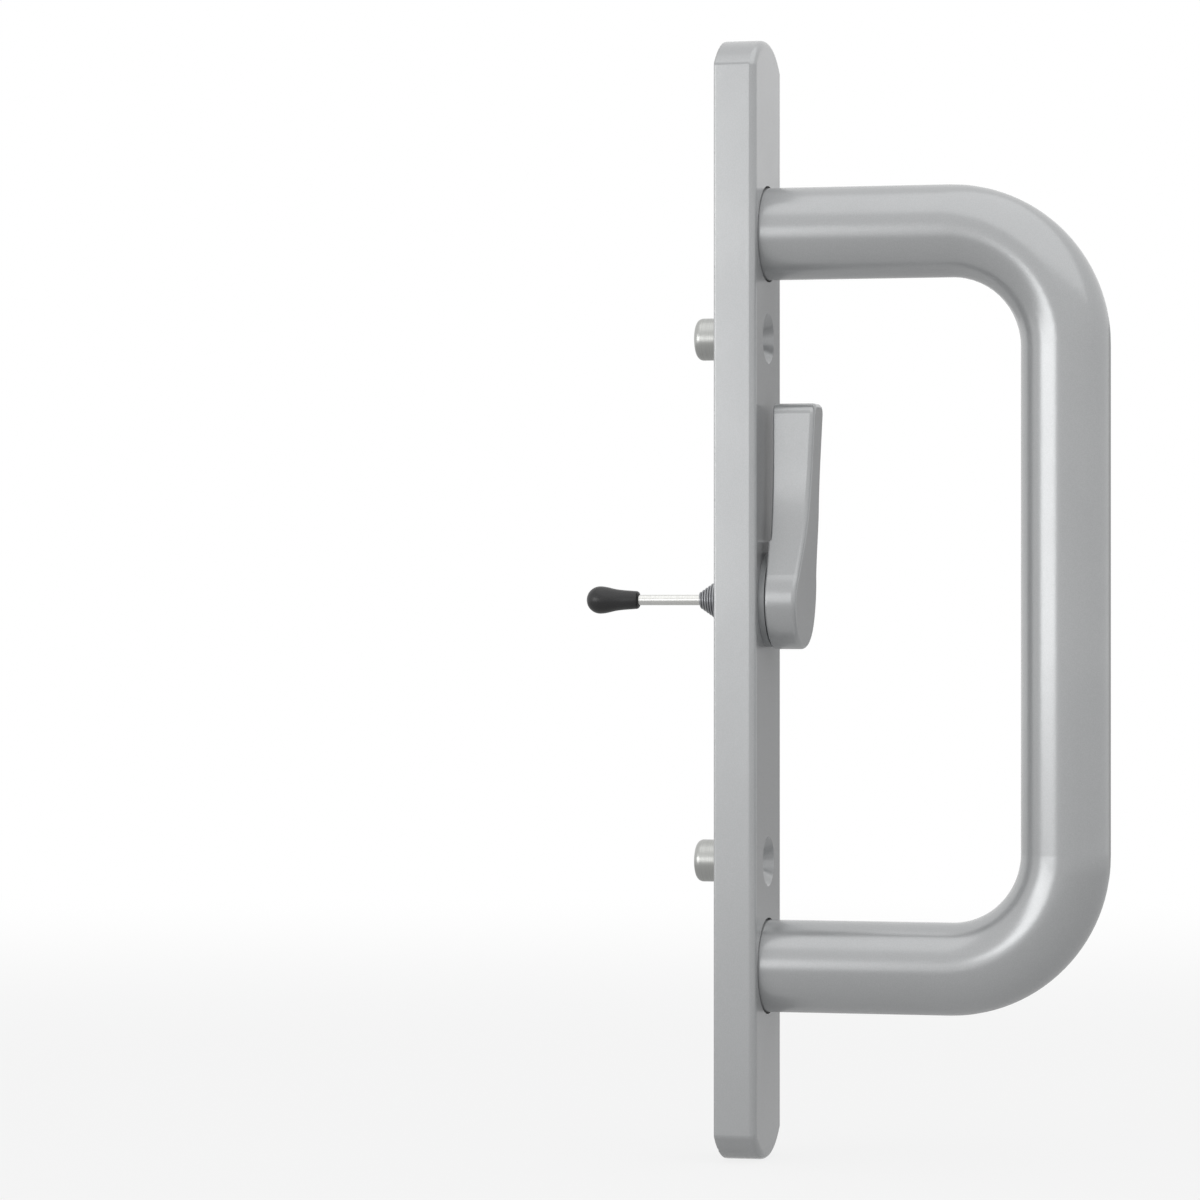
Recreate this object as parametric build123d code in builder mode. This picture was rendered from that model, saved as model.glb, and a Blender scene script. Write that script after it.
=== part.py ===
from build123d import *
from math import asin, atan, cos, degrees, radians, sin, sqrt, tan
import os

# Interior handle of a sliding patio door: a cast back plate, a bent grip bar and a
# thumb turn whose tail reaches into the lock in the door's edge.
# Millimetres. X runs across the plate, Z up, and Y into the door. The origin is the
# centre of the plate's back face, on the thumb turn's axis. A depth is the distance
# from the door's face towards the room, so what reaches into the door is negative.

os.makedirs("parts", exist_ok=True)

# Back plate
plate_width = 22.0
plate_height = 214.0
plate_depth = 8.2
plate_end_radius = 14.5
plate_corner_radius = 1.2
cavity_corner_radius = 1.0
plate_front_edge = 1.3
plate_back_edge = 0.4
side_wall = 2.0
face_wall = 2.4
cavity_fillet = 0.8
rib_thickness = 1.4
rib_height = 2.2
rib_places = (15.5, 26.0, 36.5, 60.0, 84.0, 92.0)

# Door screws and the sleeves that locate the plate in the door
screw_spacing = 100.0
screw_hole_radius = 2.6
countersink_radius = 4.8
sleeve_radius = 4.04
sleeve_length = 5.75
sleeve_rounding = 1.3
sleeve_root_radius = 3.4
sleeve_root_length = 4.0
sleeve_boss_radius = 6.0

# Grip bar
grip_spacing = 140.0
grip_reach = 65.7
grip_leg_radius = 8.82
grip_bar_radius = 8.45
grip_bend_radius = 22.0
seat_gap = 0.4
seat_depth = 1.2
seat_washer_thickness = 0.5
seat_pad_depth = 4.4

# Screws that hold the grip bar from behind the plate
grip_screw_radius = 2.5
grip_screw_hole_radius = 2.75
grip_screw_length = 18.0
grip_screw_head_radius = 4.75
grip_screw_head_height = 2.6
grip_screw_head_rounding = 1.8
grip_hole_spare_depth = 1.5
hex_socket_across = 3.0
hex_socket_depth = 1.6
lock_washer_radius = 4.6
lock_washer_thickness = 1.2
lock_washer_slit = 0.8

# Thumb turn
hub_radius = 9.4
hub_height = 7.3
finger_half_width = 4.1
finger_length = 37.5
finger_height = 10.0
finger_rise_start = -4.0
finger_rise_end = 17.5
finger_rise_slope = 0.05
finger_relief = 0.4
finger_relief_start = 11.5
finger_corner = 2.2
flare_start = 27.0
flare_joint_angle = 30.0
flare_joint_rounding = 0.8
turn_front_edge = 0.9
turn_back_edge = 0.35

# Thumb turn's bearing and shank
shank_radius = 4.45
shank_reach = 1.2
running_gap = 0.05
flange_radius = 9.0
flange_thickness = 1.15
flange_gap = 0.2
bush_wall = 1.0
hub_boss_radius = 7.5
hub_boss_depth = 5.0
shank_flat = 3.7

# Stack behind the bearing: disc spring, stop washer and retaining ring
disc_spring_radius = 6.9
disc_spring_thickness = 0.35
disc_spring_dish = 0.4
stop_washer_radius = 6.9
stop_washer_thickness = 1.0
stop_tab_radius = 8.3
stop_tab_width = 3.2
stop_peg_radius = 1.4
stop_peg_circle = 8.6
stop_clearance_angle = 1.0
turn_angle = 90.0
groove_depth = 0.45
ring_thickness = 0.8
ring_width = 1.3
ring_opening_angle = 70.0
ring_ear_radius = 1.1
ring_ear_hole_radius = 0.5

# Tail
rod_radius = 1.0
rod_reach = 24.0
rod_root_length = 5.5
rod_blade_length = 4.5
rod_blade_half_thickness = 0.7
pin_radius = 0.6
pin_inset = 1.4
spring_wire_radius = 0.27
spring_wire_sides = 12
spring_base_radius = 3.7
spring_pitch = 0.712
spring_length = 4.1
tip_end = 27.7
tip_mouth = 17.3
tip_bulb_radius = 2.64
tip_waist_radius = 2.15
tip_waist_place = 22.2
tip_mouth_radius = 1.72
tip_mouth_slope = 0.09
tip_lip = 0.55
tip_mouth_taper = 1.4

# Clearance between pieces that are pressed, screwed or stacked together
fit_gap = 0.02

# Places of the door screws and of the grip bar's legs, above and below the origin
screw_places = ((0, screw_spacing / 2), (0, -screw_spacing / 2))
leg_places = ((0, grip_spacing / 2), (0, -grip_spacing / 2))

# Radii and depths worked out from the sizes above
bush_bore_radius = shank_radius + running_gap
bush_radius = bush_bore_radius + bush_wall
cavity_depth = plate_depth - face_wall
seat_floor = plate_depth - seat_depth
leg_end = seat_floor + seat_washer_thickness + 2 * fit_gap
head_seat = seat_pad_depth - lock_washer_thickness - 2 * fit_gap
flange_face = plate_depth + flange_thickness
hub_back = flange_face + flange_gap
hub_front = plate_depth + hub_height
disc_spring_height = disc_spring_thickness + disc_spring_dish
disc_spring_back = hub_boss_depth - disc_spring_height - 2 * fit_gap
stop_washer_back = disc_spring_back - stop_washer_thickness - fit_gap
ring_back = stop_washer_back - ring_thickness - 2 * fit_gap


def plate_outline(inset, corner_radius):
    """Plate seen from the room: straight sides and bowed ends that meet at small corners."""
    half_width = plate_width / 2 - inset
    half_height = plate_height / 2 - inset
    end_radius = plate_end_radius - inset
    corner_height = half_height - end_radius + sqrt(end_radius**2 - half_width**2)
    with BuildSketch(Plane.XZ) as outline:
        with BuildLine():
            Line((half_width, -corner_height), (half_width, corner_height))
            ThreePointArc((half_width, corner_height), (0, half_height), (-half_width, corner_height))
            Line((-half_width, corner_height), (-half_width, -corner_height))
            ThreePointArc((-half_width, -corner_height), (0, -half_height), (half_width, -corner_height))
        make_face()
        fillet(outline.vertices(), corner_radius)
    return outline.sketch


# Stop pegs stand beside the washer's tab at both ends of the quarter turn.
tab_half_angle = degrees(asin(stop_tab_width / 2 / stop_washer_radius))
peg_half_angle = degrees(asin(stop_peg_radius / stop_peg_circle))
peg_offset = tab_half_angle + peg_half_angle + stop_clearance_angle
peg_angles = (90 - peg_offset, 90 + turn_angle + peg_offset)
peg_points = [
    (stop_peg_circle * cos(radians(angle)), stop_peg_circle * sin(radians(angle)))
    for angle in peg_angles
]

# Back plate: a die casting, hollow behind, with bosses, pads, ribs and stop pegs.
with BuildPart() as back_plate:
    extrude(plate_outline(0, plate_corner_radius), amount=plate_depth)
    fillet(back_plate.faces().sort_by(Axis.Y)[0].edges(), plate_front_edge)
    fillet(back_plate.faces().sort_by(Axis.Y)[-1].edges(), plate_back_edge)
    extrude(plate_outline(side_wall, cavity_corner_radius), amount=cavity_depth, mode=Mode.SUBTRACT)
    cavity_floor = back_plate.faces().filter_by(Axis.Y).sort_by(Axis.Y)[1]
    fillet(cavity_floor.edges(), cavity_fillet)
    # Cross ribs stiffen the hollow.
    with BuildSketch(Plane.XZ.offset(cavity_depth - rib_height)):
        for rib_place in rib_places:
            with Locations((0, rib_place), (0, -rib_place)):
                Rectangle(plate_width - 2 * side_wall, rib_thickness)
    extrude(amount=rib_height + cavity_fillet)
    # Bosses round the door screws end level with the rim.
    with BuildSketch(Plane.XZ):
        with Locations(*screw_places):
            Circle(sleeve_boss_radius)
    extrude(amount=cavity_depth + cavity_fillet)
    # Pads under the grip bar's legs.
    with BuildSketch(Plane.XZ.offset(seat_pad_depth)):
        with Locations(*leg_places):
            Circle(plate_width / 2 - side_wall / 2)
    extrude(amount=seat_floor - seat_pad_depth)
    # Ring of metal round the thumb turn's bearing, and the two stop pegs.
    with BuildSketch(Plane.XZ.offset(hub_boss_depth)):
        Circle(hub_boss_radius)
    extrude(amount=cavity_depth - hub_boss_depth + cavity_fillet)
    with BuildSketch(Plane.XZ.offset(stop_washer_back)):
        with Locations(*peg_points):
            Circle(stop_peg_radius)
    extrude(amount=cavity_depth - stop_washer_back + cavity_fillet)
    # Holes: door screws, seats of the legs, grip screws and bearing.
    with Locations(Plane.XZ.offset(plate_depth)):
        with Locations(*screw_places):
            CounterSinkHole(screw_hole_radius, countersink_radius)
    with BuildSketch(Plane.XZ):
        with Locations(*screw_places):
            Circle(sleeve_root_radius + fit_gap)
    extrude(amount=sleeve_root_length + fit_gap, mode=Mode.SUBTRACT)
    with BuildSketch(Plane.XZ.offset(seat_floor)):
        with Locations(*leg_places):
            Circle(grip_leg_radius + seat_gap)
    extrude(amount=seat_depth, mode=Mode.SUBTRACT)
    with BuildSketch(Plane.XZ):
        with Locations(*leg_places):
            Circle(grip_screw_hole_radius)
        Circle(bush_radius + fit_gap)
    extrude(amount=plate_depth, mode=Mode.SUBTRACT)
back_plate.part.label = "back_plate"
export_step(back_plate.part, "parts/back_plate.step")


# Sleeves: turned posts pressed into the bosses. They locate the plate in the door,
# and the door screws pass through them.
def mount_sleeve(place):
    with BuildPart() as sleeve:
        with BuildSketch(Plane.YZ):
            with BuildLine():
                Polyline(
                    (-sleeve_root_length, place + screw_hole_radius),
                    (-sleeve_root_length, place + sleeve_root_radius),
                    (0, place + sleeve_root_radius),
                    (0, place + sleeve_radius),
                    (sleeve_length - sleeve_rounding, place + sleeve_radius),
                )
                RadiusArc(
                    (sleeve_length - sleeve_rounding, place + sleeve_radius),
                    (sleeve_length, place + sleeve_radius - sleeve_rounding),
                    sleeve_rounding,
                )
                Polyline(
                    (sleeve_length, place + sleeve_radius - sleeve_rounding),
                    (sleeve_length, place + screw_hole_radius),
                    (-sleeve_root_length, place + screw_hole_radius),
                )
            make_face()
        revolve(axis=Axis((0, 0, place), (0, 1, 0)))
    return sleeve.part


for name, side in (("upper_mount_sleeve", 1), ("lower_mount_sleeve", -1)):
    sleeve_part = mount_sleeve(side * screw_spacing / 2)
    sleeve_part.label = name
    export_step(sleeve_part, f"parts/{name}.step")

# Grip bar: a round bar bent into a D, slimmer along its upright, with a tapped hole
# in the end of each leg.
leg_height = grip_spacing / 2
bend_start = grip_reach - grip_bend_radius
bend_top = leg_height - grip_bend_radius
with BuildPart() as grip_bar:
    with BuildSketch(Plane.XZ.offset(leg_end)):
        with Locations(*leg_places):
            Circle(grip_leg_radius)
    extrude(amount=bend_start - leg_end)
    with BuildSketch(Plane.XY.offset(-bend_top)):
        with Locations((0, -grip_reach)):
            Circle(grip_bar_radius)
    extrude(amount=2 * bend_top)
    for side in (1, -1):
        with BuildLine(Plane.YZ) as bend:
            JernArc((-bend_start, side * leg_height), (-1, 0), grip_bend_radius, side * 90)
        with BuildSketch(Plane(origin=bend.line @ 0, x_dir=(1, 0, 0), z_dir=bend.line % 0)):
            Circle(grip_leg_radius)
        with BuildSketch(Plane(origin=bend.line @ 1, x_dir=(1, 0, 0), z_dir=bend.line % 1)):
            Circle(grip_bar_radius)
        sweep(multisection=True)
    # Tapped holes for the screws, a little deeper than the screws reach.
    with BuildSketch(Plane.XZ.offset(leg_end)):
        with Locations(*leg_places):
            Circle(grip_screw_radius + fit_gap)
    extrude(amount=head_seat + grip_screw_length + grip_hole_spare_depth - leg_end, mode=Mode.SUBTRACT)
grip_bar.part.label = "grip_bar"
export_step(grip_bar.part, "parts/grip_bar.step")


# Seat washers: thin dark rings under the ends of the legs.
def seat_washer(place):
    with BuildPart() as washer:
        with BuildSketch(Plane.XZ.offset(seat_floor + fit_gap)):
            with Locations((0, place)):
                Circle(grip_leg_radius + seat_gap - fit_gap)
                Circle(grip_screw_hole_radius, mode=Mode.SUBTRACT)
        extrude(amount=seat_washer_thickness)
    return washer.part


# Lock washers: split rings under the heads of the grip screws.
def lock_washer(place):
    with BuildPart() as washer:
        with BuildSketch(Plane.XZ.offset(seat_pad_depth - lock_washer_thickness - fit_gap)):
            with Locations((0, place)):
                Circle(lock_washer_radius)
                Circle(grip_screw_radius + fit_gap, mode=Mode.SUBTRACT)
            with Locations((lock_washer_radius, place)):
                Rectangle(2 * lock_washer_radius, lock_washer_slit, mode=Mode.SUBTRACT)
        extrude(amount=lock_washer_thickness)
    return washer.part


# Grip screws: domed heads with a hexagon socket.
def grip_screw(place):
    head_top = head_seat - grip_screw_head_height
    with BuildPart() as screw:
        with BuildSketch(Plane.XZ.offset(head_top)):
            with Locations((0, place)):
                Circle(grip_screw_head_radius)
        extrude(amount=grip_screw_head_height)
        fillet(screw.edges().sort_by(Axis.Y)[-1], grip_screw_head_rounding)
        with BuildSketch(Plane.XZ.offset(head_seat)):
            with Locations((0, place)):
                Circle(grip_screw_radius)
        extrude(amount=grip_screw_length)
        with BuildSketch(Plane.XZ.offset(head_top)):
            with Locations((0, place)):
                RegularPolygon(hex_socket_across / 2, 6, major_radius=False)
        extrude(amount=hex_socket_depth, mode=Mode.SUBTRACT)
    return screw.part


for name, side in (("upper", 1), ("lower", -1)):
    place = side * grip_spacing / 2
    for piece, make_piece in (
        ("seat_washer", seat_washer),
        ("lock_washer", lock_washer),
        ("grip_screw", grip_screw),
    ):
        fastener = make_piece(place)
        fastener.label = f"{name}_{piece}"
        export_step(fastener, f"parts/{name}_{piece}.step")

# Hub bush: a flanged plastic bearing pressed into the plate. Its flange is the thin
# collar under the thumb turn.
with BuildPart() as hub_bush:
    with BuildSketch(Plane.XZ.offset(hub_boss_depth)):
        Circle(bush_radius)
    extrude(amount=flange_face - hub_boss_depth)
    with BuildSketch(Plane.XZ.offset(plate_depth + fit_gap)):
        Circle(flange_radius)
    extrude(amount=flange_thickness - fit_gap)
    with BuildSketch(Plane.XZ.offset(hub_boss_depth)):
        Circle(bush_bore_radius)
    extrude(amount=flange_face - hub_boss_depth, mode=Mode.SUBTRACT)
hub_bush.part.label = "hub_bush"
export_step(hub_bush.part, "parts/hub_bush.step")

# Thumb turn: one casting with a round hub, a finger that stands higher than the hub
# and flares into it, and a shank with two flats, a ring groove and a hole for the rod.
finger_back = hub_back + finger_relief
finger_front = plate_depth + finger_height
flare_end = (hub_radius * cos(radians(flare_joint_angle)), hub_radius * sin(radians(flare_joint_angle)))
flare_width = flare_end[0] - finger_half_width
flare_length = flare_start - flare_end[1]
flare_radius = (flare_length**2 + flare_width**2) / (2 * flare_width)
with BuildPart() as thumb_turn:
    with BuildSketch(Plane.YZ.offset(-hub_radius)):
        with BuildLine():
            front_rise = Spline(
                (-hub_front, finger_rise_start),
                (-finger_front + finger_rise_slope * (finger_length - finger_rise_end), finger_rise_end),
                tangents=((0, 1), (-finger_rise_slope, 1)),
            )
            Polyline(
                front_rise @ 1,
                (-finger_front, finger_length),
                (-finger_back, finger_length),
                (-finger_back, finger_relief_start),
                (-hub_back, finger_relief_start - finger_relief),
                (-hub_back, -hub_radius),
                (-hub_front, -hub_radius),
                (-hub_front, finger_rise_start),
            )
        make_face()
    extrude(amount=2 * hub_radius)
    with BuildSketch(Plane.XZ.offset(hub_back)) as turn_outline:
        Circle(hub_radius)
        with BuildLine():
            Polyline(
                (-flare_end[0], flare_end[1]),
                (0, 0),
                (flare_end[0], flare_end[1]),
            )
            RadiusArc(flare_end, (finger_half_width, flare_start), flare_radius)
            Polyline(
                (finger_half_width, flare_start),
                (finger_half_width, finger_length - finger_corner),
            )
            RadiusArc(
                (finger_half_width, finger_length - finger_corner),
                (finger_half_width - finger_corner, finger_length),
                -finger_corner,
            )
            Line(
                (finger_half_width - finger_corner, finger_length),
                (finger_corner - finger_half_width, finger_length),
            )
            RadiusArc(
                (finger_corner - finger_half_width, finger_length),
                (-finger_half_width, finger_length - finger_corner),
                -finger_corner,
            )
            Line(
                (-finger_half_width, finger_length - finger_corner),
                (-finger_half_width, flare_start),
            )
            RadiusArc((-finger_half_width, flare_start), (-flare_end[0], flare_end[1]), flare_radius)
        make_face()
        flare_joints = turn_outline.vertices().filter_by_position(Axis.Y, flare_end[1] / 2, hub_radius)
        fillet(flare_joints, flare_joint_rounding)
    extrude(amount=finger_front - hub_back, mode=Mode.INTERSECT)
    front_faces = thumb_turn.faces().filter_by(lambda face: face.normal_at().Y < -0.9)
    cross_edges = thumb_turn.edges().filter_by(Axis.X)
    seams = cross_edges.filter_by_position(Axis.Z, -hub_radius, finger_length - finger_corner)
    front_edges = [edge for edge in front_faces.edges() if edge not in seams]
    fillet(front_edges, turn_front_edge)
    back_edges = thumb_turn.faces().sort_by(Axis.Y)[-3:].edges()
    rim_edges = [edge for edge in back_edges if edge not in back_edges.filter_by(Axis.X)]
    fillet(rim_edges, turn_back_edge)
    with BuildSketch(Plane.XZ.offset(-shank_reach)):
        Circle(shank_radius)
    extrude(amount=hub_back + shank_reach)
    # Two flats drive the stop washer, and a groove holds the retaining ring.
    with BuildSketch(Plane.XZ.offset(-shank_reach)):
        for side in (1, -1):
            with Locations((side * (shank_flat + shank_radius), 0)):
                Rectangle(2 * shank_radius, 2 * shank_radius)
    extrude(amount=disc_spring_back + shank_reach, mode=Mode.SUBTRACT)
    with BuildSketch(Plane.XZ.offset(ring_back - fit_gap)):
        Circle(shank_radius)
        Circle(shank_radius - groove_depth, mode=Mode.SUBTRACT)
    extrude(amount=ring_thickness + 2 * fit_gap, mode=Mode.SUBTRACT)
    # Blind hole for the tail rod, and the hole of the pin that crosses it.
    with BuildSketch(Plane.XZ.offset(-shank_reach)):
        Circle(rod_radius + fit_gap)
    extrude(amount=rod_root_length + fit_gap, mode=Mode.SUBTRACT)
    with BuildSketch(Plane.YZ):
        with Locations((shank_reach - pin_inset, 0)):
            Circle(pin_radius + fit_gap)
    extrude(amount=shank_radius, both=True, mode=Mode.SUBTRACT)
thumb_turn.part.label = "thumb_turn"
export_step(thumb_turn.part, "parts/thumb_turn.step")

# Disc spring: a dished steel ring that presses the thumb turn's hub onto the bush, so
# that the lever stays where it is put.
disc_inner_radius = shank_radius + running_gap
disc_outer_depth = hub_boss_depth - fit_gap
disc_inner_depth = disc_outer_depth - disc_spring_dish
with BuildPart() as disc_spring:
    with BuildSketch(Plane.YZ):
        with BuildLine():
            Polyline(
                (-disc_outer_depth, disc_spring_radius),
                (-disc_inner_depth, disc_inner_radius),
                (disc_spring_thickness - disc_inner_depth, disc_inner_radius),
                (disc_spring_thickness - disc_outer_depth, disc_spring_radius),
                close=True,
            )
        make_face()
    revolve(axis=Axis.Y)
disc_spring.part.label = "disc_spring"
export_step(disc_spring.part, "parts/disc_spring.step")

# Stop washer: a stamping that turns with the shank. Its tab meets the plate's two pegs.
with BuildPart() as stop_washer:
    with BuildSketch(Plane.XZ.offset(stop_washer_back)):
        Circle(stop_washer_radius)
        with Locations((0, stop_tab_radius / 2)):
            Rectangle(stop_tab_width, stop_tab_radius)
    extrude(amount=stop_washer_thickness)
    with BuildSketch(Plane.XZ.offset(stop_washer_back)):
        Circle(shank_radius + fit_gap)
        Rectangle(2 * (shank_flat + fit_gap), 4 * shank_radius, mode=Mode.INTERSECT)
    extrude(amount=stop_washer_thickness, mode=Mode.SUBTRACT)
stop_washer.part.label = "stop_washer"
export_step(stop_washer.part, "parts/stop_washer.step")

# Retaining ring: an open spring-steel ring with an eared gap, snapped into the groove.
ring_inner_radius = shank_radius - groove_depth + fit_gap
ring_outer_radius = ring_inner_radius + ring_width
ear_circle = ring_inner_radius + ring_ear_radius
ear_angles = (270 - ring_opening_angle / 2, 270 + ring_opening_angle / 2)
ear_points = [
    (ear_circle * cos(radians(angle)), ear_circle * sin(radians(angle))) for angle in ear_angles
]
gap_edge = 2 * ring_outer_radius * tan(radians(ring_opening_angle / 2))
with BuildPart() as retaining_ring:
    with BuildSketch(Plane.XZ.offset(ring_back)):
        Circle(ring_outer_radius)
        Circle(ring_inner_radius, mode=Mode.SUBTRACT)
        with BuildLine():
            Polyline(
                (0, 0),
                (gap_edge / 2, -ring_outer_radius),
                (gap_edge / 2, -2 * ring_outer_radius),
                (-gap_edge / 2, -2 * ring_outer_radius),
                (-gap_edge / 2, -ring_outer_radius),
                close=True,
            )
        make_face(mode=Mode.SUBTRACT)
        with Locations(*ear_points):
            Circle(ring_ear_radius)
        with Locations(*ear_points):
            Circle(ring_ear_hole_radius, mode=Mode.SUBTRACT)
    extrude(amount=ring_thickness)
retaining_ring.part.label = "retaining_ring"
export_step(retaining_ring.part, "parts/retaining_ring.step")

# Tail rod: a round steel rod pinned in the shank, with a flattened blade at its far end
# for the moulded tip.
rod_length = rod_reach - shank_reach + rod_root_length
with BuildPart() as tail_rod:
    with BuildSketch(Plane.XZ.offset(-rod_reach)):
        Circle(rod_radius)
    extrude(amount=rod_length)
    with BuildSketch(Plane.XZ.offset(-rod_reach)):
        for side in (1, -1):
            with Locations((side * (rod_blade_half_thickness + rod_radius), 0)):
                Rectangle(2 * rod_radius, 2 * rod_radius)
    extrude(amount=rod_blade_length, mode=Mode.SUBTRACT)
    with BuildSketch(Plane.YZ):
        with Locations((shank_reach - pin_inset, 0)):
            Circle(pin_radius + fit_gap)
    extrude(amount=rod_radius, both=True, mode=Mode.SUBTRACT)
tail_rod.part.label = "tail_rod"
export_step(tail_rod.part, "parts/tail_rod.step")

# Tail pin: crosses the shank from flat to flat and holds the rod.
with BuildPart() as tail_pin:
    with BuildSketch(Plane.YZ):
        with Locations((shank_reach - pin_inset, 0)):
            Circle(pin_radius)
    extrude(amount=shank_flat - fit_gap, both=True)
tail_pin.part.label = "tail_pin"
export_step(tail_pin.part, "parts/tail_pin.step")

# Tail spring: a cone of wire that stands on the shank's end and closes on the rod.
spring_start = shank_reach + spring_wire_radius + fit_gap
spring_rise = spring_length - 2 * spring_wire_radius
spring_top_radius = rod_radius + spring_wire_radius + fit_gap
spring_angle = degrees(atan((spring_base_radius - spring_top_radius) / spring_rise))
with BuildPart() as tail_spring:
    with BuildLine():
        coil = Helix(
            pitch=spring_pitch,
            height=spring_rise,
            radius=spring_base_radius,
            center=(0, spring_start, 0),
            direction=(0, 1, 0),
            cone_angle=-spring_angle,
        )
    with BuildSketch(Plane(origin=coil @ 0, z_dir=coil % 0)):
        RegularPolygon(spring_wire_radius, spring_wire_sides)
    sweep(is_frenet=True)
tail_spring.part.label = "tail_spring"
export_step(tail_spring.part, "parts/tail_spring.step")

# Tail tip: a soft black moulding on the rod's blade, with a slim neck and a round bulb.
bulb_place = tip_end - tip_bulb_radius
with BuildPart() as tail_tip:
    with BuildSketch(Plane.YZ):
        with BuildLine():
            RadiusArc(
                (tip_mouth, tip_mouth_radius - tip_lip),
                (tip_mouth + tip_lip, tip_mouth_radius),
                tip_lip,
            )
            Spline(
                (tip_mouth + tip_lip, tip_mouth_radius),
                (tip_waist_place, tip_waist_radius),
                (bulb_place, tip_bulb_radius),
                tangents=((1, tip_mouth_slope), (1, 0)),
            )
            RadiusArc((bulb_place, tip_bulb_radius), (tip_end, 0), tip_bulb_radius)
            Polyline(
                (tip_end, 0),
                (tip_mouth + tip_mouth_taper, 0),
                (tip_mouth + tip_mouth_taper, rod_radius + fit_gap),
                (tip_mouth, tip_mouth_radius - tip_lip),
            )
        make_face()
    revolve(axis=Axis.Y)
    with BuildSketch(Plane.XZ.offset(rod_blade_length - rod_reach)):
        Circle(rod_radius + fit_gap)
    extrude(amount=rod_reach - rod_blade_length - tip_mouth, mode=Mode.SUBTRACT)
    with BuildSketch(Plane.XZ.offset(-rod_reach - fit_gap)):
        Circle(rod_radius + fit_gap)
        Rectangle(2 * (rod_blade_half_thickness + fit_gap), 4 * rod_radius, mode=Mode.INTERSECT)
    extrude(amount=rod_blade_length + fit_gap, mode=Mode.SUBTRACT)
tail_tip.part.label = "tail_tip"
export_step(tail_tip.part, "parts/tail_tip.step")
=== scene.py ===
import bpy
from math import pi, radians
from mathutils import Matrix, Vector


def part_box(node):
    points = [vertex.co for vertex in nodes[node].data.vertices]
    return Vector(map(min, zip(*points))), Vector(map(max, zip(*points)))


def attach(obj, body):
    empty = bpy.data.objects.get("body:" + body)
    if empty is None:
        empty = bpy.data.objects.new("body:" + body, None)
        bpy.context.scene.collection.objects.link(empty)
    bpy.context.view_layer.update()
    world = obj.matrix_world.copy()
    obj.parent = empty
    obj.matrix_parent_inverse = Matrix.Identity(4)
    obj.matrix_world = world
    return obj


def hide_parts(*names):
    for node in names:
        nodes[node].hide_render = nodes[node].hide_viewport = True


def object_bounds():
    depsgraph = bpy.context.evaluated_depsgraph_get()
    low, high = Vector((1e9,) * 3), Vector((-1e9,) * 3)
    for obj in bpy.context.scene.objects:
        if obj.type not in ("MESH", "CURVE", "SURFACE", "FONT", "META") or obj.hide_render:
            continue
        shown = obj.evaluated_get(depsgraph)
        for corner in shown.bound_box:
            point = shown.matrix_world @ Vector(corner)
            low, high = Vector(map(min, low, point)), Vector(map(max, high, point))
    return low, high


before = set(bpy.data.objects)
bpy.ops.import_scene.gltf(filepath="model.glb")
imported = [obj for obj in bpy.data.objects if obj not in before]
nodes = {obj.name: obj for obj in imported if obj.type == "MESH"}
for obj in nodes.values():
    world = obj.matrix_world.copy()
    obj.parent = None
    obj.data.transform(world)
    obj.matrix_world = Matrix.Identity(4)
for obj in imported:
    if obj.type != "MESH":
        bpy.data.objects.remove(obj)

cad_low, cad_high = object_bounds()

# Back plate: one zinc die casting, hollow behind. It is powder coated a satin silver grey
# with a fine orange peel and a little flake. Inside the hollow the coat is thin, the dull
# casting shows through it, and round marks are left where pins pushed it out of the mould.
mm = 0.001
plate_low, plate_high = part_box("back_plate")
silver_colour = (0.455, 0.463, 0.468, 1)
silver_shade = (0.41, 0.418, 0.424, 1)
silver_roughness = 0.235
silver_metal = 0.4
silver_peel = 0.006 * mm
paint_ior = 1.5
# Scales are per metre. A noise keeps mostly to the middle of its range, so blends run there.
peel_scale = 700.0
flake_scale = 5200.0
flake_range = (0.36, 0.64)
speckle_share = 0.6
cloud_scale = 38.0
middle_range = (0.3, 0.7)
mottle_share = 0.4
silver_gloss_drift = (-0.02, 0.03)
casting_colour = (0.27, 0.275, 0.28, 1)
casting_roughness = 0.55
casting_depth = 0.03 * mm
casting_grain_scale = 1900.0
casting_grain_share = 0.5
thin_coat_scale = 160.0
thin_coat_range = (0.35, 0.68)
hollow_floor = plate_low.y + 2.0 * mm
hollow_half_width = plate_high.x - 1.4 * mm
hollow_end_radius = 13.5 * mm
hollow_end_centre = plate_high.z - 14.5 * mm
pin_mark_radius = 1.9 * mm
pin_mark_edge = 1.08
pin_mark_places = ((5.6, 21.0), (5.6, 31.2), (0.0, 88.0), (0.0, 97.5))


def new_group(name, inputs):
    """A shader node group that takes a place and puts out a colour, a roughness and a height."""
    group = bpy.data.node_groups.new(name, "ShaderNodeTree")
    for socket_name, kind, value in (("Vector", "Vector", (0, 0, 0)), *inputs):
        socket = group.interface.new_socket(socket_name, in_out="INPUT", socket_type=f"NodeSocket{kind}")
        socket.default_value = value
    for socket_name, kind in (("Colour", "Color"), ("Roughness", "Float"), ("Height", "Float")):
        group.interface.new_socket(socket_name, in_out="OUTPUT", socket_type=f"NodeSocket{kind}")
    return group, group.nodes.new("NodeGroupInput").outputs, group.nodes.new("NodeGroupOutput").inputs


def put_out(group, outputs, **results):
    """The group's results go to its outputs of the same names."""
    for name, result in results.items():
        group.links.new(result, outputs[name])


def add(tree, kind, values, **settings):
    """A new node. Each value goes to the input of that name or number, linked if it is a socket."""
    node = tree.nodes.new(f"ShaderNode{kind}")
    for setting, choice in settings.items():
        setattr(node, setting, choice)
    for key, value in values.items():
        if isinstance(value, bpy.types.NodeSocket):
            tree.links.new(value, node.inputs[key])
        else:
            node.inputs[key].default_value = value
    return node


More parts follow.
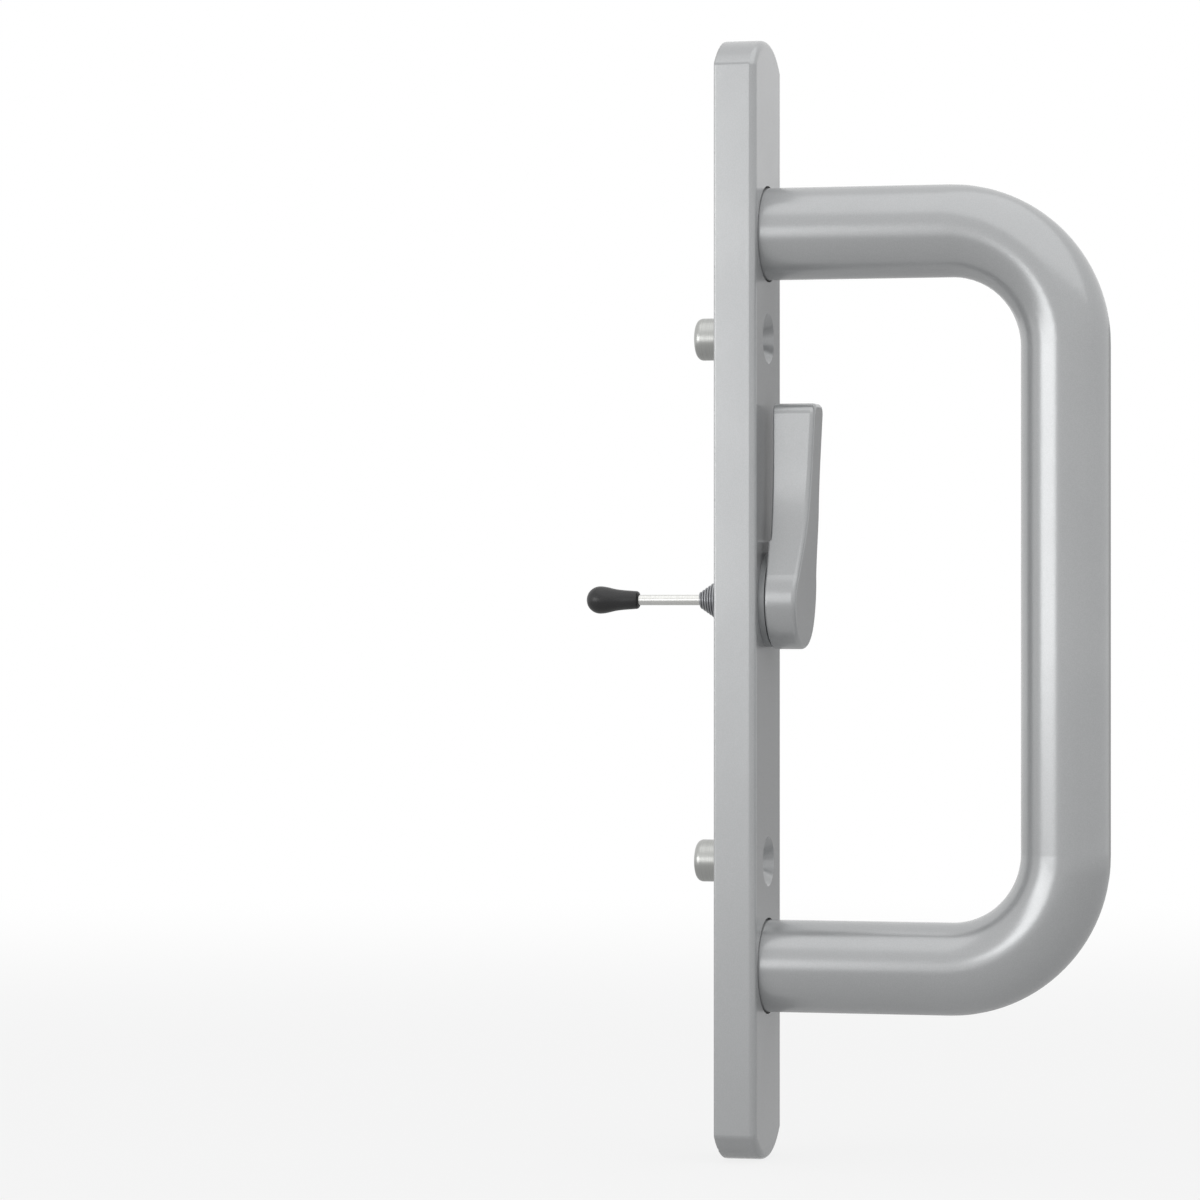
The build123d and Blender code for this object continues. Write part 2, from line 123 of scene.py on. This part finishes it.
def calculate(tree, operation, *values, clamp=False):
    """One Math node, and its result."""
    return add(tree, "Math", dict(enumerate(values)), operation=operation, use_clamp=clamp).outputs[0]


def spread(tree, value, low, high, to_low=0.0, to_high=1.0):
    """A value from low to high, taken smoothly to another range."""
    ranges = {"Value": value, "From Min": low, "From Max": high, "To Min": to_low, "To Max": to_high}
    return add(tree, "MapRange", ranges, interpolation_type="SMOOTHSTEP").outputs[0]


def blend(tree, share, first, second):
    """Two colours mixed by a share."""
    return add(tree, "Mix", {0: share, 6: first, 7: second}, data_type="RGBA").outputs[2]


def noise(tree, vector, scale, detail=2.0):
    """Soft noise from 0 to 1."""
    return add(tree, "TexNoise", {"Vector": vector, "Scale": scale, "Detail": detail}).outputs[0]


def bare_tree(owner):
    """The emptied node tree of a material or of the world."""
    owner.use_nodes = True
    owner.node_tree.nodes.clear()
    return owner.node_tree


def new_material(name, metal, **constants):
    """A material with one Principled shader, ready for its colour, roughness and relief."""
    material = bpy.data.materials.new(name)
    tree = bare_tree(material)
    shader = add(tree, "BsdfPrincipled", {"Metallic": metal, **constants})
    add(tree, "OutputMaterial", {"Surface": shader.outputs[0]})
    return material, tree, shader


def place_of(tree, centre=(0, 0, 0)):
    """Object coordinates, measured from a centre."""
    here = add(tree, "TexCoord", {}).outputs["Object"]
    shift = [-value for value in centre]
    return add(tree, "Mapping", {"Vector": here, "Location": shift}).outputs[0]


def dress(tree, shader, colour, roughness, height, depth):
    """Colour, roughness and a relief of that depth, in metres, put on the shader."""
    relief = add(tree, "Bump", {"Height": height, "Distance": depth, "Strength": 1.0})
    tree.links.new(colour, shader.inputs["Base Color"])
    tree.links.new(roughness, shader.inputs["Roughness"])
    tree.links.new(relief.outputs[0], shader.inputs["Normal"])


def give(material, *names):
    """The material goes on these CAD nodes."""
    for name in names:
        nodes[name].data.materials.clear()
        nodes[name].data.materials.append(material)


# The powder flows a little in the oven and leaves soft dimples, and its flake sparkles.
coat, coat_in, coat_out = new_group(
    "powder_coat",
    [
        ("Colour", "Color", silver_colour),
        ("Shade", "Color", silver_shade),
        ("Peel Scale", "Float", peel_scale),
        ("Flake Scale", "Float", flake_scale),
        ("Roughness", "Float", silver_roughness),
    ],
)
peel = noise(coat, coat_in["Vector"], coat_in["Peel Scale"])
flake = noise(coat, coat_in["Vector"], coat_in["Flake Scale"], detail=1.0)
cloud = noise(coat, coat_in["Vector"], cloud_scale, detail=3.0)
speckle = spread(coat, flake, *flake_range, 0.0, speckle_share)
mottle = spread(coat, cloud, *middle_range, 0.0, mottle_share)
shade_share = calculate(coat, "ADD", speckle, mottle, clamp=True)
silver_gloss = spread(coat, cloud, *middle_range, *silver_gloss_drift)
put_out(
    coat,
    coat_out,
    Colour=blend(coat, shade_share, coat_in["Colour"], coat_in["Shade"]),
    Roughness=calculate(coat, "ADD", coat_in["Roughness"], silver_gloss),
    Height=peel,
)

plate_paint, tree, shader = new_material("silver_paint_plate", silver_metal, IOR=paint_ior)
here = place_of(tree)
painted = add(tree, "Group", {"Vector": here}, node_tree=coat).outputs

# The hollow is as wide as the plate less its walls, with round ends, and lies behind the face.
along = add(tree, "SeparateXYZ", {0: here}).outputs
across = calculate(tree, "ABSOLUTE", along["X"])
height = calculate(tree, "ABSOLUTE", along["Z"])
past_centre = calculate(tree, "MAXIMUM", calculate(tree, "SUBTRACT", height, hollow_end_centre), 0.0)
from_centre = add(tree, "CombineXYZ", {0: across, 2: past_centre}).outputs[0]
end_distance = add(tree, "VectorMath", {0: from_centre}, operation="LENGTH").outputs["Value"]
inside_end = calculate(tree, "LESS_THAN", end_distance, hollow_end_radius)
inside_width = calculate(tree, "LESS_THAN", across, hollow_half_width)
behind_face = calculate(tree, "GREATER_THAN", along["Y"], hollow_floor)
in_hollow = calculate(tree, "MULTIPLY", calculate(tree, "MULTIPLY", inside_end, inside_width), behind_face)

casting_grain = noise(tree, here, casting_grain_scale, detail=4.0)
thin_coat = spread(tree, noise(tree, here, thin_coat_scale, detail=4.0), *thin_coat_range)
casting = blend(tree, thin_coat, casting_colour, silver_shade)
spot = add(tree, "CombineXYZ", {0: across, 2: height}).outputs[0]
nearest_mark = None
for mark_x, mark_z in pin_mark_places:
    mark = (mark_x * mm, 0.0, mark_z * mm)
    distance = add(tree, "VectorMath", {0: spot, 1: mark}, operation="DISTANCE").outputs["Value"]
    nearest_mark = distance if nearest_mark is None else calculate(tree, "MINIMUM", nearest_mark, distance)
mark_disc = spread(tree, nearest_mark, pin_mark_radius, pin_mark_edge * pin_mark_radius)
grain_relief = calculate(tree, "MULTIPLY", casting_grain, casting_grain_share)
hollow_relief = calculate(tree, "ADD", grain_relief, mark_disc)

plate_colour = blend(tree, in_hollow, painted["Colour"], casting)
plate_gloss = {0: in_hollow, 2: painted["Roughness"], 3: casting_roughness}
plate_roughness = add(tree, "Mix", plate_gloss).outputs[0]
peel_relief = calculate(tree, "MULTIPLY", painted["Height"], silver_peel / casting_depth)
plate_relief = add(tree, "Mix", {0: in_hollow, 2: peel_relief, 3: hollow_relief}).outputs[0]
dress(tree, shader, plate_colour, plate_roughness, plate_relief, casting_depth)
give(plate_paint, "back_plate")

# Mount sleeves: zinc posts turned on a lathe and pressed into the plate. The tool leaves
# fine rings on their sides and ends.
post_colour = (0.46, 0.465, 0.45, 1)
post_shade = (0.4, 0.405, 0.395, 1)
post_roughness = 0.33
post_rings = 5200.0
post_ring_depth = 0.003 * mm
smear_scale = 420.0
smear_range = (0.25, 0.7)
smear_share = (0.5, 1.0)
ring_gloss_drift = (-0.04, 0.06)

turned, turned_in, turned_out = new_group(
    "turned_marks",
    [
        ("Colour", "Color", post_colour),
        ("Shade", "Color", post_shade),
        ("Rings", "Float", post_rings),
        ("Roughness", "Float", post_roughness),
    ],
)
along = add(turned, "SeparateXYZ", {0: turned_in["Vector"]}).outputs
flat = add(turned, "CombineXYZ", {0: along["X"], 2: along["Z"]}).outputs[0]
from_axis = add(turned, "VectorMath", {0: flat}, operation="LENGTH").outputs["Value"]
feed = calculate(turned, "MULTIPLY", calculate(turned, "ADD", from_axis, along["Y"]), turned_in["Rings"])
rings = add(turned, "TexNoise", {"W": feed, "Scale": 1.0, "Detail": 3.0}, noise_dimensions="1D").outputs[0]
smear = noise(turned, turned_in["Vector"], smear_scale, detail=3.0)
ring_mask = spread(turned, rings, *middle_range)
ring_share = calculate(turned, "MULTIPLY", ring_mask, spread(turned, smear, *smear_range, *smear_share))
ring_gloss = spread(turned, rings, *middle_range, *ring_gloss_drift)
put_out(
    turned,
    turned_out,
    Colour=blend(turned, ring_share, turned_in["Colour"], turned_in["Shade"]),
    Roughness=calculate(turned, "ADD", turned_in["Roughness"], ring_gloss),
    Height=rings,
)


def surfaced(name, group, metal, depth, values, centre=(0, 0, 0), **constants):
    """A material whose whole surface comes from one group, set to these values."""
    material, tree, shader = new_material(name, metal, **constants)
    surface = add(tree, "Group", {"Vector": place_of(tree, centre), **values}, node_tree=group).outputs
    dress(tree, shader, surface["Colour"], surface["Roughness"], surface["Height"], depth)
    return material


def turned_metal(name, centre, colour, shade, rings_per_metre, roughness, depth):
    """A bright turned metal whose rings run round the Y axis through a centre."""
    values = {"Colour": colour, "Shade": shade, "Rings": rings_per_metre, "Roughness": roughness}
    return surfaced(name, turned, 1.0, depth, values, centre)


for name in ("upper_mount_sleeve", "lower_mount_sleeve"):
    low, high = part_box(name)
    middle = (0, 0, (low.z + high.z) / 2)
    finish = (post_colour, post_shade, post_rings, post_roughness, post_ring_depth)
    give(turned_metal(f"turned_zinc_{name}", middle, *finish), name)

# Seat washers: thin black nylon rings under the ends of the grip bar's legs. They show as
# a dark line round each leg.
nylon_black = (0.012, 0.012, 0.013, 1)
nylon_black_shade = (0.02, 0.02, 0.021, 1)
nylon_black_grain = 2600.0
nylon_black_roughness = 0.5
nylon_ior = 1.5
nylon_depth = 0.004 * mm
flow_scale = 180.0
skin_gloss_drift = (-0.05, 0.07)

skin, skin_in, skin_out = new_group(
    "moulded_skin",
    [
        ("Colour", "Color", nylon_black),
        ("Shade", "Color", nylon_black_shade),
        ("Grain Scale", "Float", nylon_black_grain),
        ("Roughness", "Float", nylon_black_roughness),
    ],
)
grain = noise(skin, skin_in["Vector"], skin_in["Grain Scale"], detail=3.0)
flow = noise(skin, skin_in["Vector"], flow_scale, detail=3.0)
flow_mask = spread(skin, flow, *middle_range)
skin_gloss = spread(skin, flow, *middle_range, *skin_gloss_drift)
put_out(
    skin,
    skin_out,
    Colour=blend(skin, flow_mask, skin_in["Colour"], skin_in["Shade"]),
    Roughness=calculate(skin, "ADD", skin_in["Roughness"], skin_gloss),
    Height=grain,
)


def moulded(name, colour, shade, grain_scale, roughness, depth):
    """A moulded plastic or rubber with the mould's fine grain."""
    values = {"Colour": colour, "Shade": shade, "Grain Scale": grain_scale, "Roughness": roughness}
    return surfaced(name, skin, 0.0, depth, values, IOR=nylon_ior)


finish = (nylon_black, nylon_black_shade, nylon_black_grain, nylon_black_roughness, nylon_depth)
give(moulded("black_nylon", *finish), "upper_seat_washer", "lower_seat_washer")

# Grip bar: a round aluminium bar bent into a D and powder coated like the plate. It stands
# in the plate's two round seats.
give(surfaced("silver_paint_bar", coat, silver_metal, silver_peel, {}, IOR=paint_ior), "grip_bar")

# Grip screws and their split lock washers: zinc-plated steel, put in from behind the plate.
# The zinc is bright, faintly blue and a little uneven.
zinc_colour = (0.6, 0.61, 0.62, 1)
zinc_tint = (0.5, 0.52, 0.55, 1)
screw_roughness = 0.33
plating_depth = 0.004 * mm
bloom_scale = 260.0
bloom_range = (0.35, 0.65)
bloom_gloss_drift = (-0.04, 0.08)
pit_scale = 3200.0

plating, plating_in, plating_out = new_group(
    "zinc_plating",
    [
        ("Colour", "Color", zinc_colour),
        ("Tint", "Color", zinc_tint),
        ("Roughness", "Float", screw_roughness),
    ],
)
bloom = noise(plating, plating_in["Vector"], bloom_scale, detail=4.0)
pits = noise(plating, plating_in["Vector"], pit_scale)
bloom_mask = spread(plating, bloom, *bloom_range)
plating_gloss = spread(plating, bloom, *bloom_range, *bloom_gloss_drift)
put_out(
    plating,
    plating_out,
    Colour=blend(plating, bloom_mask, plating_in["Colour"], plating_in["Tint"]),
    Roughness=calculate(plating, "ADD", plating_in["Roughness"], plating_gloss),
    Height=pits,
)


def plated(name, colour, tint, roughness, depth):
    """Plated or plain bright steel."""
    return surfaced(name, plating, 1.0, depth, {"Colour": colour, "Tint": tint, "Roughness": roughness})


give(
    plated("zinc_plated_screws", zinc_colour, zinc_tint, screw_roughness, plating_depth),
    "upper_grip_screw",
    "lower_grip_screw",
    "upper_lock_washer",
    "lower_lock_washer",
)

# Hub bush: a flanged bearing moulded in grey nylon. Its flange is the thin collar between
# the thumb turn and the plate.
nylon_grey = (0.3, 0.31, 0.315, 1)
nylon_grey_shade = (0.26, 0.27, 0.275, 1)
nylon_grey_grain = 2200.0
nylon_grey_roughness = 0.42
finish = (nylon_grey, nylon_grey_shade, nylon_grey_grain, nylon_grey_roughness, nylon_depth)
give(moulded("grey_nylon", *finish), "hub_bush")

# Disc spring, stop washer and retaining ring: stamped from steel and stacked behind the
# bearing. The spring and the ring are darker than the washer, which is plated. So is the
# short pin that crosses the shank and holds the tail's rod.
spring_steel = (0.3, 0.3, 0.3, 1)
spring_steel_tint = (0.22, 0.22, 0.235, 1)
stamping_roughness = 0.34
washer_zinc = plated("plated_washer", zinc_colour, zinc_tint, stamping_roughness, plating_depth)
give(washer_zinc, "stop_washer", "tail_pin")
ring_steel = plated("spring_steel", spring_steel, spring_steel_tint, stamping_roughness, plating_depth)
give(ring_steel, "disc_spring", "retaining_ring")

# Thumb turn: lever, hub and shank, cast in one piece and powder coated like the plate. The
# shank runs through the bush into the plate's hollow.
give(surfaced("silver_paint_turn", coat, silver_metal, silver_peel, {}, IOR=paint_ior), "thumb_turn")

# Tail rod: drawn steel wire, straightened, polished and pinned in the shank. The polishing
# leaves faint rings.
rod_colour = (0.7, 0.7, 0.68, 1)
rod_shade = (0.64, 0.64, 0.62, 1)
rod_rings = 3600.0
rod_roughness = 0.33
rod_ring_depth = 0.001 * mm
finish = (rod_colour, rod_shade, rod_rings, rod_roughness, rod_ring_depth)
give(turned_metal("bright_rod", (0, 0, 0), *finish), "tail_rod")

# Tail spring: bright spring wire wound into a cone. Its wide turn stands on the shank's end,
# and its narrow turn closes on the rod.
# Its colour and tint are darker than the wire's own tone: painted shade from the plate's hollow.
wire_colour_with_painted_shade = (0.36, 0.365, 0.375, 1)
wire_tint_with_painted_shade = (0.28, 0.285, 0.3, 1)
wire_roughness = 0.32
wire_pit_depth = 0.002 * mm
wire_radius = 0.27 * mm
spring_low, spring_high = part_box("tail_spring")
spring_sizes = {
    "Turns": 6.038,
    "Wide Radius": 3.7 * mm,
    "Narrow Radius": 1.29 * mm,
    "Start": spring_low.y + wire_radius,
    "Rise": spring_high.y - spring_low.y - 2 * wire_radius,
    "Wire Radius": wire_radius,
    "Steps per Turn": 60,
    "Wire Sides": 16,
}
wire_paint = plated("bright_wire", wire_colour_with_painted_shade, wire_tint_with_painted_shade, wire_roughness, wire_pit_depth)

winding = bpy.data.node_groups.new("wire_cone", "GeometryNodeTree")
winding.interface.new_socket("Geometry", in_out="OUTPUT", socket_type="NodeSocketGeometry")
for name, size in spring_sizes.items():
    kind = "NodeSocketInt" if isinstance(size, int) else "NodeSocketFloat"
    winding.interface.new_socket(name, in_out="INPUT", socket_type=kind)
winding.interface.new_socket("Wire", in_out="INPUT", socket_type="NodeSocketMaterial")
sizes_in = winding.nodes.new("NodeGroupInput").outputs


def step(kind, **links):
    """One Geometry Nodes node, its inputs linked or set by their names."""
    node = winding.nodes.new(f"GeometryNode{kind}")
    for key, value in links.items():
        socket = node.inputs[key.replace("_", " ")]
        if isinstance(value, bpy.types.NodeSocket):
            winding.links.new(value, socket)
        else:
            socket.default_value = value
    return node


# The spiral rises along Z. It is laid along Y, so that its wide end starts at the top.
cone = step(
    "CurveSpiral",
    Resolution=sizes_in["Steps per Turn"],
    Rotations=sizes_in["Turns"],
    Start_Radius=sizes_in["Wide Radius"],
    End_Radius=sizes_in["Narrow Radius"],
    Height=sizes_in["Rise"],
    Reverse=True,
)
start = winding.nodes.new("ShaderNodeCombineXYZ")
winding.links.new(sizes_in["Start"], start.inputs["Y"])
laid = step(
    "Transform",
    Geometry=cone.outputs["Curve"],
    Translation=start.outputs["Vector"],
    Rotation=(-pi / 2, -pi / 2, 0.0),
)
section = step("CurvePrimitiveCircle", Resolution=sizes_in["Wire Sides"], Radius=sizes_in["Wire Radius"])
wire = step(
    "CurveToMesh",
    Curve=laid.outputs["Geometry"],
    Profile_Curve=section.outputs["Curve"],
    Fill_Caps=True,
)
smooth = step("SetShadeSmooth", Geometry=wire.outputs["Mesh"], Shade_Smooth=True)
real = step("RealizeInstances", Geometry=smooth.outputs["Geometry"])
painted_wire = step("SetMaterial", Geometry=real.outputs["Geometry"], Material=sizes_in["Wire"])
winding.links.new(painted_wire.outputs["Geometry"], winding.nodes.new("NodeGroupOutput").inputs["Geometry"])

spring = bpy.data.objects.new("spring_wire", bpy.data.meshes.new("spring_wire_start"))
bpy.context.scene.collection.objects.link(spring)
maker = spring.modifiers.new("wire_cone", "NODES")
maker.node_group = winding
for socket in winding.interface.items_tree:
    if socket.in_out == "INPUT":
        maker[socket.identifier] = spring_sizes.get(socket.name, wire_paint)
made = spring.evaluated_get(bpy.context.evaluated_depsgraph_get())
wound = bpy.data.meshes.new_from_object(made)
spring.modifiers.clear()
spring.data = wound
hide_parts("tail_spring")
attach(spring, "turn")

# Tail tip: a soft black moulding pushed onto the rod's end.
tip_black = (0.011, 0.011, 0.012, 1)
tip_black_shade = (0.017, 0.017, 0.018, 1)
tip_grain = 2400.0
tip_roughness = 0.36
tip_depth = 0.002 * mm
finish = (tip_black, tip_black_shade, tip_grain, tip_roughness, tip_depth)
give(moulded("black_moulding", *finish), "tail_tip")

# Studio: a pale floor, a wide soft lamp at the camera's left, a large square one above and an
# even white surround. Two grey boards, one behind the handle and one just over the floor, are
# seen in reflections only, so that the plate's face and the bar's undersides aren't too pale.
floor_radius = 3.0
floor_sides = 96
floor_colour = (0.55, 0.55, 0.55, 1)
floor_white_share = 0.83
floor_fade_start = 0.25
floor_fade_end = 0.9
surround_light = 0.6
white_light = (1, 1, 1, 1)
# Each board's brightness, its middle, and the way from there to two of its edges.
boards = {
    "far_board": (0.42, (0.677, -0.179, 0.0), (0.056, 0.213, 0.0), (0.0, 0.0, 0.12)),
    "floor_board": (0.58, (0.0, 0.0, -0.1065), (0.7, 0.0, 0.0), (0.0, 0.7, 0.0)),
}
# Each lamp's direction, its distance, its width and length, and how bright it makes a white
# face that is turned to it.
lamps = {
    "side_lamp": ((-0.80, 0.56, 0.10), 1.3, (1.0, 0.45), 0.225),
    "top_lamp": ((-0.25, -0.3, 0.92), 1.8, (3.0, 3.0), 0.5),
}
lamp_target = (0, -0.03, 0)
view_distance = 0.98275
view_angle = 14.77
view_offset = 0.02431
view_lens = 153.7
film_width = 36.0


def seen_share(tree):
    """1 where the camera, a reflection or a clear piece looks straight at a surface, else 0."""
    path = add(tree, "LightPath", {}).outputs
    seen = calculate(tree, "MAXIMUM", path["Is Camera Ray"], path["Is Glossy Ray"])
    return calculate(tree, "MAXIMUM", seen, path["Is Transmission Ray"])


def flat_face(name, corners, material):
    """One flat face of the studio."""
    mesh = bpy.data.meshes.new(name)
    mesh.from_pydata(corners, [], [list(range(len(corners)))])
    mesh.materials.append(material)
    face = bpy.data.objects.new(name, mesh)
    bpy.context.scene.collection.objects.link(face)
    return face


# The floor takes the handle's shadow, and pales to white away from it.
floor_paint = bpy.data.materials.new("pale_floor")
tree = bare_tree(floor_paint)
matt = add(tree, "BsdfDiffuse", {"Color": floor_colour})
glow = add(tree, "Emission", {"Strength": 1.0})
place = add(tree, "TexCoord", {}).outputs["Object"]
from_middle = add(tree, "VectorMath", {0: place}, operation="LENGTH").outputs["Value"]
whiteness = spread(tree, from_middle, floor_fade_start, floor_fade_end, floor_white_share, 1.0)
white_share = calculate(tree, "MULTIPLY", seen_share(tree), whiteness)
mixed = add(tree, "MixShader", {0: white_share, 1: matt.outputs[0], 2: glow.outputs[0]})
add(tree, "OutputMaterial", {"Surface": mixed.outputs[0]})
floor_edge = Vector((floor_radius, 0, cad_low.z))
floor_turns = [Matrix.Rotation(2 * pi * side / floor_sides, 3, "Z") for side in range(floor_sides)]
floor = flat_face("floor", [turn @ floor_edge for turn in floor_turns], floor_paint)

for name, (brightness, middle, across, along) in boards.items():
    board_paint = bpy.data.materials.new(name)
    tree = bare_tree(board_paint)
    grey = add(tree, "Emission", {"Color": white_light, "Strength": brightness})
    add(tree, "OutputMaterial", {"Surface": grey.outputs[0]})
    corners = [
        Vector(middle) + side * Vector(across) + end * Vector(along)
        for side, end in ((-1, -1), (1, -1), (1, 1), (-1, 1))
    ]
    board = flat_face(name, corners, board_paint)
    board.visible_camera = False
    board.visible_shadow = False
    board.visible_diffuse = False

world = bpy.data.worlds.new("surround")
bpy.context.scene.world = world
tree = bare_tree(world)
dim = add(tree, "Background", {"Color": white_light, "Strength": surround_light})
white = add(tree, "Background", {"Color": white_light, "Strength": 1.0})
mixed = add(tree, "MixShader", {0: seen_share(tree), 1: dim.outputs[0], 2: white.outputs[0]})
add(tree, "OutputWorld", {"Surface": mixed.outputs[0]})


def aim(thing, place, target):
    """Puts a lamp or the camera at a place and turns it to look at a target."""
    thing.location = place
    thing.rotation_euler = (Vector(target) - Vector(place)).to_track_quat("-Z", "Y").to_euler()
    bpy.context.scene.collection.objects.link(thing)


for name, (direction, distance, (width, length), brightness) in lamps.items():
    lamp = bpy.data.lights.new(name, "AREA")
    lamp.shape = "RECTANGLE"
    lamp.size = width
    lamp.size_y = length
    lamp.energy = brightness * (pi * distance) ** 2
    aim(bpy.data.objects.new(name, lamp), Vector(direction).normalized() * distance, lamp_target)

# The camera stands level with the plate's middle and looks nearly along the plate's face.
forward = Vector((1, 0, 0))
forward.rotate(Matrix.Rotation(radians(view_angle), 3, "Z"))
right = forward.cross(Vector((0, 0, 1)))
camera_place = -view_distance * forward - view_offset * right
lens = bpy.data.cameras.new("photo_view")
lens.sensor_width = film_width
lens.lens = view_lens
camera = bpy.data.objects.new("photo_view", lens)
aim(camera, camera_place, camera_place + forward)
bpy.context.scene.camera = camera
bpy.context.scene.view_settings.view_transform = "Standard"
